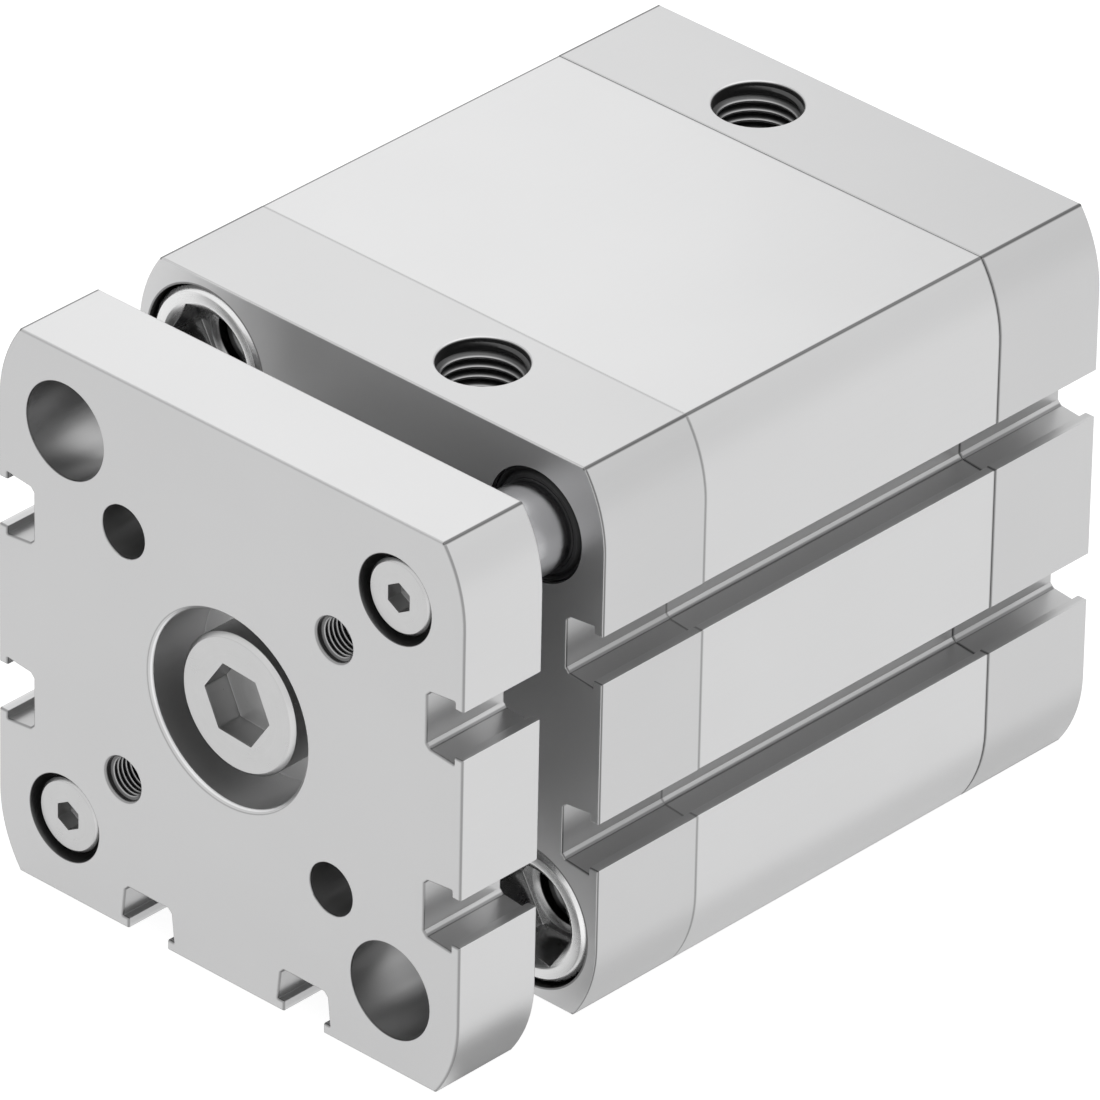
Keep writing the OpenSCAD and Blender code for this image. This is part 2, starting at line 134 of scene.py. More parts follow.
class Shader:
    """The node tree of one material, or of the world."""

    def __init__(self, owner: Union[bpy.types.Material, bpy.types.World]) -> None:
        """Empties the owner's tree and gives it its output.

        Args:
            owner: What the tree belongs to.
        """
        owner.use_nodes = True
        self.tree = owner.node_tree
        self.tree.nodes.clear()
        kind = "World" if isinstance(owner, bpy.types.World) else "Material"
        self.output = self.tree.nodes.new("ShaderNodeOutput" + kind)

    def node(self, kind: str, settings: dict[str, Any], inputs: dict[Union[str, int], Setting],
             output: Union[str, int] = 0) -> Wire:
        """Adds any node.

        Args:
            kind: Blender's name for the type of node.
            settings: Its properties, which are set before its sockets.
            inputs: Values or wires by socket name or number.
            output: The output that is wanted.

        Returns:
            That output.
        """
        made = self.tree.nodes.new(kind)
        for name, value in settings.items():
            setattr(made, name, value)
        for name, value in inputs.items():
            if isinstance(value, Wire):
                self.tree.links.new(value.socket, made.inputs[name])
            else:
                made.inputs[name].default_value = value
        return Wire(self, made.outputs[output])

    def sum(self, operation: str, *values: Value) -> Wire:
        """The result of a Math node."""
        return self.node("ShaderNodeMath", {"operation": operation}, dict(enumerate(values)))

    def place(self) -> Wire:
        """The place on the object in millimetres, as a vector."""
        spot = self.node("ShaderNodeTexCoord", {}, {}, "Object")
        return self.scaled(spot, (1 / MM, 1 / MM, 1 / MM))

    def scaled(self, vector: Wire, factors: Triple) -> Wire:
        """Multiplies a vector by three numbers, one for each axis."""
        return self.node("ShaderNodeVectorMath", {"operation": "MULTIPLY"}, {0: vector, 1: factors})

    def parts(self, vector: Wire) -> tuple[Wire, Wire, Wire]:
        """The three numbers of a vector."""
        first = self.node("ShaderNodeSeparateXYZ", {}, {0: vector})
        return tuple(Wire(self, socket) for socket in first.socket.node.outputs)

    def joined(self, x: Setting, y: Setting, z: Setting) -> Wire:
        """A vector from three numbers."""
        return self.node("ShaderNodeCombineXYZ", {}, {0: x, 1: y, 2: z})

    def noise(self, vector: Wire, scale: float, detail: float) -> Wire:
        """Smooth noise round 0, with this many features per unit of the vector and finer layers."""
        return self.node("ShaderNodeTexNoise", {},
                         {"Vector": vector, "Scale": scale, "Detail": detail}) - 0.5

    def bump(self, height: Wire, depth_mm: float) -> Wire:
        """A normal from a height that is counted in steps of depth_mm."""
        return self.node("ShaderNodeBump", {},
                         {"Strength": 1.0, "Distance": depth_mm * MM, "Height": height})

    def end(self, last: Wire) -> None:
        """Leads the last node to the output."""
        self.tree.links.new(last.socket, self.output.inputs["Surface"])

    def surface(self, inputs: dict[str, Setting]) -> None:
        """Ends the tree in a Principled shader with these sockets."""
        self.end(self.node("ShaderNodeBsdfPrincipled", {}, inputs))


# Finishes


@dataclass(frozen=True)
class Layer:
    """Noise over a surface, with its shares in what it changes.

    Attributes:
        scale: Features per unit of the place where it is read.
        detail: How many finer layers it has.
        tone: Its share in the brightness.
        rough: Its share in the roughness.
    """

    scale: float
    detail: float
    tone: float = 0.0
    rough: float = 0.0

    def read(self, shader: Shader, vector: Wire) -> Wire:
        """The noise at a place."""
        return shader.noise(vector, self.scale, self.detail)


@dataclass(frozen=True)
class Finish:
    """A surface finish, which builds its own material once.

    Attributes:
        name: The material's name.
        slot: The record's material slot; not used.
        colour: Base colour, linear.
        roughness: Mean roughness.
        metallic: Share of metal in the reflection.
    """

    name: str
    slot: str
    colour: Triple
    roughness: float
    metallic: float

    def material(self) -> bpy.types.Material:
        """The finish's material, built on first use."""
        found = bpy.data.materials.get(self.name)
        if found is None:
            found = bpy.data.materials.new(self.name)
            self.paint(Shader(found))
        return found

    def paint(self, shader: Shader) -> None:
        """Fills the empty tree."""
        raise NotImplementedError

    def toned(self, shader: Shader, tone: Wire) -> Wire:
        """The base colour with its brightness changed by this share of it."""
        return shader.node("ShaderNodeVectorMath", {"operation": "SCALE"},
                           {0: self.colour, "Scale": tone + 1.0})


WALL_FADE = (0.03, 0.12)  # how far behind a hole's wall its painted shade starts and ends to fade
CREST_FADE = 0.08  # how far behind a thread's crests the painted shade of its grooves starts
CREST_SHARE = 0.65  # how much less painted shade the crests get
FACE_FADE = (0.05, 0.15)  # how far behind a face along Y its own look and painted light start and end to fade


@dataclass(frozen=True)
class Bore:
    """The wall of a hole, darker than the faces round it by painted shade, most of all in a thread's
    grooves.

    Attributes:
        radius: Radius of the wall.
        tone: How much painted shade darkens it.
        crest: Radius of a thread's crests, which are the least dark, or 0 where there is no thread.
    """

    radius: float
    tone: float
    crest: float = 0.0

    def shade(self, reach: Wire) -> Wire:
        """How much painted shade darkens a place, given its distance from the hole's axis."""
        near, far = WALL_FADE
        dark = reach.fade(self.radius + near, self.radius + far) * self.tone
        if self.crest:
            flank = (self.crest + self.radius) / 2
            dark = dark * (1.0 - reach.fade(self.crest + CREST_FADE, flank) * CREST_SHARE)
        return dark


@dataclass(frozen=True)
class Pair:
    """Two holes along Y that mirror each other through the middle.

    Attributes:
        rods: Distance of their axes from the middle along the diagonal of the guide rods.
        free: The same along the other diagonal.
        bore: Their wall.
    """

    rods: float
    free: float
    bore: Bore

    def shade(self, x: Wire, z: Wire) -> Wire:
        """How much painted shade darkens a place. The diagonals are x + z and x - z over root 2."""
        along, across = (abs(d) * math.sqrt(0.5) for d in (x + z, x - z))
        return self.bore.shade(((along - self.rods) ** 2.0 + (across - self.free) ** 2.0) ** 0.5)


COAT, ETCHED = Layer(0.05, 2.0, 0.05), Layer(5.0, 4.0, 0.02, 0.08)  # slow changes, and fine grain
DRAWN = Layer(1.0, 3.0, 0.02, 0.04)
DRAWN_OUT, DRAWN_LIFT = (3.0, 0.02, 3.0), 0.3  # how drawing lines are stretched, and their height
RING_FADE = (0.16, 0.24)  # distances from the chamfer's radius between which its painted highlight fades
TOP_DEPTH = 0.3  # depth below the top face from which the dark lines show fully
SLOT_EDGE, SLOT_MOUTH = (0.4, 0.6), (0.15, 0.6)  # where the slots' painted shade fades, beside and above
CORNER_W = 0.22  # half width of the painted dark line of shade along the slots' lower corners


@dataclass(frozen=True)
class Anodised(Finish):
    """Satin anodised aluminium: etched grain, faint drawing lines, milled faces and broken edges,
    with painted light and shade on faces, edges, holes, slots and a chamfer.

    Attributes:
        pairs: Holes along Y, with painted shade on their walls.
        ports: Places of the ports' axes, across and along Y.
        port: The ports' wall, with painted shade.
        ring: Radius of the chamfer round the axis, which gets a painted highlight.
        ring_highlight: How much lighter this painted highlight makes it.
        milled: The planes along Y whose faces are milled, each with how much darker its painted
            light and shade make it, lighter where negative.
        milled_roughness: How much rougher these faces are.
        half_w: Half width of the section.
        half_h: Half height of the section.
        edge_x: Where the top face ends, as a distance from the middle.
        edge_w: Half width of the painted dark line of shade on that edge.
        edge_shade: How much darker this painted line is.
        lines: Further dark lines: the place along Y, the half width, and how much darker. Along
            the front edges of the plate and the bearing cap they are painted shade; the rest are joints.
        top_share: How much of these lines shows on the top face.
        slot_middle: Distance of a slot's middle from the middle of its face.
        slot_floor: Half width of its floor with the bevels.
        slot_bevel: Depth below the face at which the bevels of its floor start.
        slot_shade: How much painted shade darkens the slots inside.
        corner_shade: How much darker the painted dark line along their lower corners is.
        grain: Height of the etched grain in millimetres.
    """

    pairs: tuple[Pair, ...] = ()
    ports: tuple[Span, ...] = ()
    port: Bore = Bore(4.86, 0.85, 4.2)
    ring: float = 11.28
    ring_highlight: float = 0.45
    # painted light and shade: the end faces darker, the plate's back and the cap's front lighter
    milled: tuple[Span, ...] = ((-95.4, 0.08), (-83.9, -0.12), (-75.0, -0.12), (0.0, 0.08))
    milled_roughness: float = 0.06
    half_w: float = 32.75
    half_h: float = 32.6
    edge_x: float = 29.75
    edge_w: float = 0.2
    edge_shade: float = 0.75
    lines: tuple[Triple, ...] = ()
    top_share: float = 0.35
    slot_middle: float = 11.15
    slot_floor: float = 3.35
    slot_bevel: float = 4.62
    slot_shade: float = 0.12
    corner_shade: float = 0.6
    grain: float = 0.003

    def paint(self, shader: Shader) -> None:
        """Grain from fine noise, drawing lines from noise that is stretched, the rest from distance."""
        place = shader.place()
        x, y, z = shader.parts(place)
        broad, grain = COAT.read(shader, place), ETCHED.read(shader, place)
        drawn = DRAWN.read(shader, shader.scaled(place, DRAWN_OUT))
        milled, faces = 0.0, 0.0
        # each milled face gets painted light or shade in its tone
        for plane, tone in self.milled:
            face = abs(y - plane).fade(*FACE_FADE)
            milled, faces = face + milled, face * tone + faces
        # painted shade in the slots, left off the milled faces
        slots = self.inside(x, z, self.half_w).most(self.inside(z, x, self.half_h))
        dark = slots * (1.0 - milled)
        # a painted dark line of shade along the edges where the top and bottom faces end
        rim = ((abs(x) - self.edge_x) ** 2.0 + (abs(z) - self.half_h) ** 2.0) ** 0.5
        dark = dark.most(self.lined(rim, self.edge_w) * self.edge_shade)
        below = 1.0 - (self.half_h - z).fade(0.0, TOP_DEPTH) * (1.0 - self.top_share)
        # painted shade along front edges, and the dark joints
        for plane, half, tone in self.lines:
            dark = dark.most(self.lined(abs(y - plane), half) * below * tone)
        # painted shade on the walls of the holes and ports
        for pair in self.pairs:
            dark = dark.most(pair.shade(x, z))
        for across, along in self.ports:
            dark = dark.most(self.port.shade(((x - across) ** 2.0 + (y - along) ** 2.0) ** 0.5))
        # a painted highlight on the chamfer round the axis, off the milled faces
        ring = abs((x * x + z * z) ** 0.5 - self.ring).fade(*RING_FADE)
        tone = broad * COAT.tone + drawn * DRAWN.tone + grain * ETCHED.tone
        tone = tone + ring * (1.0 - milled) * self.ring_highlight - dark - faces
        rough = grain * ETCHED.rough + drawn * DRAWN.rough
        shader.surface({
            "Base Color": self.toned(shader, tone),
            "Metallic": self.metallic,
            "Roughness": rough + milled * self.milled_roughness + self.roughness,
            "Normal": shader.bump(grain + drawn * DRAWN_LIFT, self.grain)})

    def lined(self, distance: Wire, half: float) -> Wire:
        """1 on a line of this half width, given the distance from its middle."""
        return distance.fade(0.6 * half, 1.6 * half)

    def inside(self, depth: Wire, side: Wire, half: float) -> Wire:
        """Painted shade inside the slots of two opposite faces.

        Args:
            depth: Place along the axis that crosses these faces.
            side: Place across the slots.
            half: The faces' distance from the middle.

        Returns:
            How much painted shade darkens a place in the slots, with a painted dark line along
            the corners of their floors.
        """
        deep, off = half - abs(depth), abs(abs(side) - self.slot_middle)
        near, far = (self.slot_floor + edge for edge in SLOT_EDGE)
        room = off.fade(near, far) * (1.0 - deep.fade(*SLOT_MOUTH))
        corner = ((deep - self.slot_bevel) ** 2.0 + (off - self.slot_floor) ** 2.0) ** 0.5
        return (room * self.slot_shade).most(self.lined(corner, CORNER_W) * self.corner_shade)


class Lay(Enum):
    """How the marks of a machined or ground surface run."""

    CORNERS = "rings round each corner hole"
    AXIS = "rings round the cylinder's axis"
    ALONG = "rings that follow one another along a rod"


MARKS, CLOUD = Layer(1.0, 3.0, 0.10, 0.08), Layer(0.4, 3.0, 0.12, 0.12)
SPECKS, SPECK_LIFT = Layer(6.0, 2.0, rough=0.05), 0.2
RIM_FADE, SUNK_FADE = 0.1, (0.1, 0.3)  # where a head's chamfer and its painted highlight set in, and a socket's painted shade fades


@dataclass(frozen=True)
class Turned(Finish):
    """Metal with the fine marks of turning or grinding, painted shade in threads and sockets, and
    a painted highlight on a head's chamfer.

    Attributes:
        lay: How the marks run.
        pitch: Distance between marks in millimetres.
        depth: Their height in millimetres.
        corner: Distance of the corner holes from the middle.
        thread: The threaded wall round the same axis, with painted shade, if there is one.
        socket: The socket's wall, with painted shade, if there is one.
        tops: Planes of the heads' tops along Y, below which the socket lies.
        rim: Radius from which a head is chamfered, or 0.
        rim_highlight: How much lighter the painted highlight on the chamfer makes it.
    """

    lay: Lay = Lay.AXIS
    pitch: float = 0.25
    depth: float = 0.003
    corner: float = 23.25
    thread: Union[Bore, None] = None
    socket: Union[Bore, None] = None
    tops: tuple[float, ...] = ()
    rim: float = 0.0
    rim_highlight: float = 0.15

    def paint(self, shader: Shader) -> None:
        """Marks are noise of one number: the radius from the nearest axis, or the place along Y."""
        place = shader.place()
        x, y, z = shader.parts(place)
        if self.lay is Lay.ALONG:
            reach = y
        elif self.lay is Lay.AXIS:
            reach = (x * x + z * z) ** 0.5
        else:
            reach = ((abs(x) - self.corner) ** 2.0 + (abs(z) - self.corner) ** 2.0) ** 0.5
        marks = MARKS.read(shader, shader.joined(reach / self.pitch, 0.0, 0.0))
        cloud, speck = CLOUD.read(shader, place), SPECKS.read(shader, place)
        tone = cloud * CLOUD.tone + marks * MARKS.tone
        rough = cloud * CLOUD.rough + marks * MARKS.rough + speck * SPECKS.rough
        # painted shade in the thread's grooves
        if self.thread:
            tone = tone - self.thread.shade(reach)
        if self.socket:
            # painted shade in the socket, which stops at the heads' tops
            sunk = self.socket.shade(reach)
            for top in self.tops:
                sunk = sunk * (1.0 - abs(y - top).fade(*SUNK_FADE))
            # a painted highlight on the head's chamfer
            tone = tone - sunk + (1.0 - reach.fade(self.rim, self.rim + RIM_FADE)) * self.rim_highlight
        shader.surface({
            "Base Color": self.toned(shader, tone),
            "Metallic": self.metallic,
            "Roughness": rough + self.roughness,
            "Normal": shader.bump(marks + speck * SPECK_LIFT, self.depth)})


PITS, BLOOM = Layer(4.0, 4.0, 0.1, 0.1), Layer(0.5, 3.0, rough=0.15)


@dataclass(frozen=True)
class Moulded(Finish):
    """Rubber or plastic from a mould: a soft skin with fine pits and a bloom of paler patches.

    Attributes:
        pits: Depth of the pits in millimetres.
        bloom: Strength of the paler patches.
    """

    pits: float = 0.006
    bloom: float = 0.3

    def paint(self, shader: Shader) -> None:
        """Pits from fine noise and bloom from broad noise."""
        place = shader.place()
        pits, bloom = PITS.read(shader, place), BLOOM.read(shader, place)
        shader.surface({
            "Base Color": self.toned(shader, bloom * self.bloom + pits * PITS.tone),
            "Metallic": self.metallic,
            "Roughness": bloom * BLOOM.rough + pits * PITS.rough + self.roughness,
            "Normal": shader.bump(pits, self.pits)})


GRAINS = Layer(0.6, 3.0, 0.2, 0.1)
PORE_W, PORE_TONE, PORE_ROUGH, PORE_DEPTH = 0.12, 0.3, 0.25, 0.01  # the width is a share of a grain


@dataclass(frozen=True)
class Sintered(Finish):
    """Porous metal: dark pores between bright grains.

    Attributes:
        pore: Size of a grain in millimetres.
    """

    pore: float = 0.25

    def paint(self, shader: Shader) -> None:
        """Pores are the borders between cells, which lie lower and darker."""
        place = shader.place()
        cell = shader.node("ShaderNodeTexVoronoi", {"feature": "DISTANCE_TO_EDGE"},
                           {"Vector": place, "Scale": 1 / self.pore})
        pores = cell.fade(0.0, PORE_W)
        cloud = GRAINS.read(shader, place)
        shader.surface({
            "Base Color": self.toned(shader, cloud * GRAINS.tone - pores * PORE_TONE),
            "Metallic": self.metallic,
            "Roughness": pores * PORE_ROUGH + cloud * GRAINS.rough + self.roughness,
            "Normal": shader.bump(1.0 - pores, PORE_DEPTH)})


# painted shade on the holes' walls; on the caps it also rings each counterbore's mouth
CORNER_REACH, SMALL_REACH = 23.25 * math.sqrt(2), 21.0
PLATE_HOLES = (Pair(CORNER_REACH, 0.0, Bore(5.0, 0.7)), Pair(0.0, CORNER_REACH, Bore(5.5, 0.36)),
               Pair(SMALL_REACH, 0.0, Bore(2.5, 0.75, 2.1)), Pair(0.0, SMALL_REACH, Bore(3.0, 0.3)))
CAP_HOLES = (Pair(0.0, CORNER_REACH, Bore(8.38, 0.7)), Pair(CORNER_REACH, 0.0, Bore(8.38, 0.7)))
JOINTS = ((-15.4, 0.2, 0.6), (-60.0, 0.16, 0.42))
# the first line of the plate and of the bearing cap is painted shade along its front edge
EXTRUDED = Anodised("anodised_extrusion", "anodised", (0.62, 0.62, 0.622), 0.32, 0.9,
                    pairs=PLATE_HOLES, lines=((-95.23, 0.11, 0.5), *JOINTS))
CAST_FRONT = Anodised("anodised_front_casting", "anodised", (0.57, 0.57, 0.572), 0.34, 0.9,
                      pairs=CAP_HOLES[:1], ports=((8.0, -66.8),), lines=((-74.83, 0.11, 0.7), *JOINTS))
CAST_REAR = Anodised("anodised_rear_casting", "anodised", (0.57, 0.57, 0.572), 0.34, 0.9,
                     pairs=CAP_HOLES, ports=((-8.0, -8.2),), lines=JOINTS)
ZINC_AXIS = Turned("zinc_on_axis", "zinc_steel", (0.52, 0.52, 0.52), 0.3, 1.0, Lay.AXIS,
                   socket=Bore(4.66, 0.2), tops=(-94.0,), rim=7.5)
ZINC_SMALL = Turned("zinc_on_guide_rods", "zinc_steel", (0.52, 0.52, 0.52), 0.3, 1.0, Lay.CORNERS,
                    socket=Bore(1.78, 0.2), tops=(-94.9,), rim=3.9)
# lighter base than the other zinc steel: painted light on the hollow screws in their counterbores
ZINC_HOLLOW_LIT = Turned("zinc_lit_at_corners", "zinc_steel", (0.72, 0.72, 0.72), 0.26, 1.0, Lay.CORNERS,
                     thread=Bore(4.0, 0.6, 3.4), socket=Bore(6.1, 0.35), tops=(-74.9, -0.1), rim=7.3)
CHROME = Turned("ground_chrome", "hard_chrome", (0.44, 0.44, 0.45), 0.22, 1.0, Lay.ALONG, 0.3, 0.0015)
BRONZE = Sintered("sintered_bronze", "bearing_alloy", (0.46, 0.36, 0.22), 0.4, 1.0)
SEAL = Moulded("seal_skin", "seal_rubber", (0.014, 0.014, 0.015), 0.5, 0.0)
BUFFER = Moulded("buffer_skin", "buffer_rubber", (0.03, 0.03, 0.033), 0.6, 0.0, 0.01, 0.4)
PISTON = Turned("turned_piston", "piston_alloy", (0.55, 0.55, 0.56), 0.35, 1.0, Lay.AXIS, 0.2, 0.004)
BAND = Moulded("filled_band", "guide_band", (0.10, 0.09, 0.08), 0.5, 0.0, 0.008, 0.3)
MAGNET = Moulded("bonded_powder", "bonded_magnet", (0.05, 0.05, 0.055), 0.45, 0.0, 0.01, 0.2)


# Mesh making


def weave(points: np.ndarray, ring_rows: bool, poles: bool = False) -> Woven:
    """Turns a grid of points into one mesh whose columns close into rings.

    Face (i, j) joins row i to row i + 1 and column j to column j + 1. The mesh is turned to face
    outwards by the sign of its volume: a sixth of the sum of p0 . (p1 x p2) over its triangles.

    Args:
        points: Rows by columns by 3.
        ring_rows: Whether the last row joins the first.
        poles: Whether the first and last row each shrink to a point.

    Returns:
        The points and the groups of faces.
    """
    rows, cols = points.shape[:2]
    i, j = np.meshgrid(np.arange(rows if ring_rows else rows - 1), np.arange(cols), indexing="ij")
    below, beside = (i + 1) % rows, (j + 1) % cols
    quads = np.stack([i * cols + j, i * cols + beside, below * cols + beside, below * cols + j], -1)
    if poles:
        flat = np.vstack([points[0].mean(0), points[1:-1].reshape(-1, 3), points[-1].mean(0)])
        quads = quads[1:-1] - cols + 1
        k = np.arange(cols)
        head = np.stack([np.zeros(cols, int), 1 + (k + 1) % cols, 1 + k], -1)
        ends = 1 + (rows - 3) * cols
        tail = np.stack([np.full(cols, len(flat) - 1), ends + k, ends + (k + 1) % cols], -1)
        faces = [quads.reshape(-1, 4), head, tail]
    else:
        flat, faces = points.reshape(-1, 3), [quads.reshape(-1, 4)]
    fans = np.vstack([f[:, [0, n, n + 1]] for f in faces for n in range(1, f.shape[1] - 1)])
    corners = flat[fans]
    volume = np.einsum("ij,ij->i", corners[:, 0], np.cross(corners[:, 1], corners[:, 2])).sum()
    return flat, faces if volume > 0 else [f[:, ::-1] for f in faces]


def linked(name: str, data: bpy.types.ID) -> bpy.types.Object:
    """A new object of the scene that holds this data."""
    made = bpy.data.objects.new(name, data)
    bpy.context.scene.collection.objects.link(made)
    return made


def stitched(name: str, parts: list[Woven]) -> bpy.types.Object:
    """Puts woven meshes into one object.

    Args:
        name: The object's name.
        parts: Points in millimetres and groups of faces.

    Returns:
        The object, at the origin.
    """
    starts = np.cumsum([0] + [len(points) for points, _ in parts])
    points = np.vstack([points for points, _ in parts]) * MM
    faces = [face for start, (_, groups) in zip(starts, parts) for group in groups
             for face in (group + start).tolist()]
    mesh = bpy.data.meshes.new(name)
    mesh.from_pydata(points, [], faces)
    mesh.update()
    return linked(name, mesh)


SHARP = math.radians(28.0)  # the angle from which an edge is broken
FLAT = math.radians(0.5)  # the angle up to which faces are one
MERGE, ON_PLANE = 0.002, 0.01  # how near points are one, and lie on a plane, in millimetres
RIDGE_EDGE = 0.05  # width of the broken edges of a thread's ridge


def rounded(piece: bpy.types.Object, width: float, limit: str = "ANGLE") -> None:
    """Breaks a piece's sharp edges and keeps its flat faces flat in the light.

    Args:
        piece: The object.
        width: Width of the broken edge in millimetres.
        limit: What picks the edges: their angle, or the weight that they carry.
    """
    piece.data.shade_smooth()
    bevel = piece.modifiers.new("broken_edges", "BEVEL")
    bevel.width = width * MM
    bevel.segments = 2
    bevel.limit_method = limit
    bevel.angle_limit = SHARP
    bevel.loop_slide = False
    bevel.miter_outer = "MITER_ARC"
    weighted = piece.modifiers.new("flat_faces", "WEIGHTED_NORMAL")
    weighted.keep_sharp = True


def outer_loop(sharp: set[bmesh.types.BMEdge], plane: float) -> set[bmesh.types.BMEdge]:
    """Finds the outline of a face across Y, by a walk along it from its outermost corner.

    Args:
        sharp: The sharp edges of the piece.
        plane: The face's place along Y.

    Returns:
        The edges of its outer loop, without the rims of holes.
    """
    flat = {edge for edge in sharp if all(abs(v.co.y / MM - plane) < ON_PLANE for v in edge.verts)}
    found, todo = set(), [max((v for edge in flat for v in edge.verts), key=lambda v: v.co.x)]
    while todo:
        corner = todo.pop()
        fresh = flat.intersection(corner.link_edges) - found
        found |= fresh
        todo.extend(edge.other_vert(corner) for edge in fresh)
    return found


def machined(node: str, edge_w: float, rim_w: float, rims: tuple[float, ...]) -> bpy.types.Object:
    """Copies a CAD node into one closed mesh with whole faces and breaks its edges.

    Args:
        node: The node's name.
        edge_w: Width of the broken edges.
        rim_w: Width of the wider ones round its end faces.
        rims: Places of these faces along Y.

    Returns:
        The copy, merged and with its flat triangles joined.
    """
    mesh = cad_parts[node].data.copy()
    mesh.materials.clear()
    work = bmesh.new()
    work.from_mesh(mesh)
    bmesh.ops.remove_doubles(work, verts=work.verts, dist=MERGE * MM)
    bmesh.ops.dissolve_limit(work, angle_limit=FLAT, verts=work.verts, edges=work.edges)
    weight = work.edges.layers.float.new("bevel_weight_edge")
    sharp = {edge for edge in work.edges if edge.calc_face_angle(0.0) > SHARP}
    wide = set().union(*(outer_loop(sharp, plane) for plane in rims))
    for edge in sharp:
        edge[weight] = 1.0 if edge in wide else edge_w / rim_w
    work.to_mesh(mesh)
    work.free()
    made = linked(node + "_shell", mesh)
    rounded(made, rim_w, "WEIGHT")
    return made


class Body(Enum):
    """The two bodies that slide on each other."""

    HOUSING = "housing"
    YOKE = "yoke"


def dress(piece: bpy.types.Object, finish: Finish, body: Body, *nodes: str) -> None:
    """Gives a finished piece its material and its body, and hides the nodes that it stands for.

    Args:
        piece: The object.
        finish: What its surface is.
        body: What it moves with.
        nodes: The CAD nodes that it replaces.
    """
    piece.data.materials.clear()
    piece.data.materials.append(finish.material())
    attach(piece, body.value)
    if nodes:
        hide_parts(*nodes)
    faces = len(piece.data.polygons)
    LOG.info("%s: %s faces, %s, rides on %s", piece.name, faces, finish.name, body.value)


class Way(Enum):
    """The way that a hole or a screw's head looks."""

    FRONT = (0.0, -1.0, 0.0)
    BACK = (0.0, 1.0, 0.0)
    UP = (0.0, 0.0, 1.0)


@dataclass(frozen=True)
class Seat:
    """Where a turned piece stands.

    Attributes:
        foot: The point on its axis from which heights count.
        way: The way that its axis looks.
    """

    foot: Triple
    way: Way

    def sunk(self, depth: float) -> "Seat":
        """The seat that lies deeper by this much."""
        return Seat(tuple(f - depth * w for f, w in zip(self.foot, self.way.value)), self.way)

    def set_in(self, radius: np.ndarray, turn: np.ndarray, height: np.ndarray) -> np.ndarray:
        """Places points that are given round this axis.

        A point is foot + r cos t u + r sin t v + h w, where w is the way, u points across and v
        is w cross u. This frame is right-handed, so a thread keeps its hand whichever way it looks.

        Args:
            radius: Distances from the axis.
            turn: Angles in radians.
            height: Heights above the foot.

        Returns:
            The points, with a last axis of 3.
        """
        radius, turn, height = (a[..., None] for a in np.broadcast_arrays(radius, turn, height))
        across, way = np.array([1.0, 0.0, 0.0]), np.array(self.way.value)
        beside = np.cross(way, across)
        out = np.cos(turn) * across + np.sin(turn) * beside
        return np.array(self.foot) + radius * out + height * way


RIDGE_FOOT, RIDGE_END = 0.03, 0.02  # a ridge's depth in the wall, and the share of height at its ends
RIDGE_LINES = np.array([-0.44, -0.08, 0.08, 0.44])  # a ridge's corners, as shares of the pitch


@dataclass
class Thread:
    """The ridge of a screw thread on the wall of a hole.

    Attributes:
        wall_r: Radius of the wall that carries the ridge.
        crest_r: Radius at the ridge's crest.
        pitch: Distance between turns.
        length: Length of the thread along its axis.
        steps: Points in one turn.
    """

    wall_r: float
    crest_r: float
    pitch: float
    length: float
    steps: int = 48

    def woven(self, seat: Seat) -> Woven:
        """Carries a trapezoid along a helix: the height grows by one pitch in each turn.

        The ridge sinks back into the wall over its first and last half turn.

        Args:
            seat: The axis, with its foot where the thread starts.

        Returns:
            Points and groups of faces.
        """
        turns = self.length / self.pitch - 1
        turn = np.linspace(0.0, 2 * np.pi * turns, int(turns * self.steps))[:, None]
        from_end = np.minimum(turn, turn[-1] - turn) / np.pi
        rise = np.clip(from_end, RIDGE_END, 1.0)
        foot, depth = self.wall_r + RIDGE_FOOT, self.wall_r - self.crest_r
        radius = np.concatenate([np.full_like(turn, foot), self.wall_r - depth * rise,
                                 self.wall_r - depth * rise, np.full_like(turn, foot)], 1)
        side = RIDGE_LINES * self.pitch
        height = (turn / (2 * np.pi) + 0.5) * self.pitch + side[None, :]
        points, faces = weave(seat.set_in(radius, turn, height), ring_rows=False)
        last = len(points) - 4
        lids = np.array([[3, 2, 1, 0], [last, last + 1, last + 2, last + 3]])
        return points, faces + [lids if faces[0][0, 1] == 1 else lids[:, ::-1]]


def ridged(name: str, ridges: list[Woven], finish: Finish, body: Body) -> None:
    """Puts woven thread ridges into one dressed piece.

    Args:
        name: The piece's name.
        ridges: The ridges, in millimetres.
        finish: The finish of what they are cut into.
        body: What they move with.
    """
    piece = stitched(name, ridges)
    rounded(piece, RIDGE_EDGE)
    dress(piece, finish, body)


TIP, FINE_EDGE = 0.8, 0.06  # chamfer at a shank's end, and width of a hexagon's edge
MOUTH_SLOPE = 0.6  # depth of the cone at a socket's mouth, as a share of its width
FLOOR_CONE = (0.46, 0.06)  # radius and depth of the cone in a socket's floor, as shares of its width


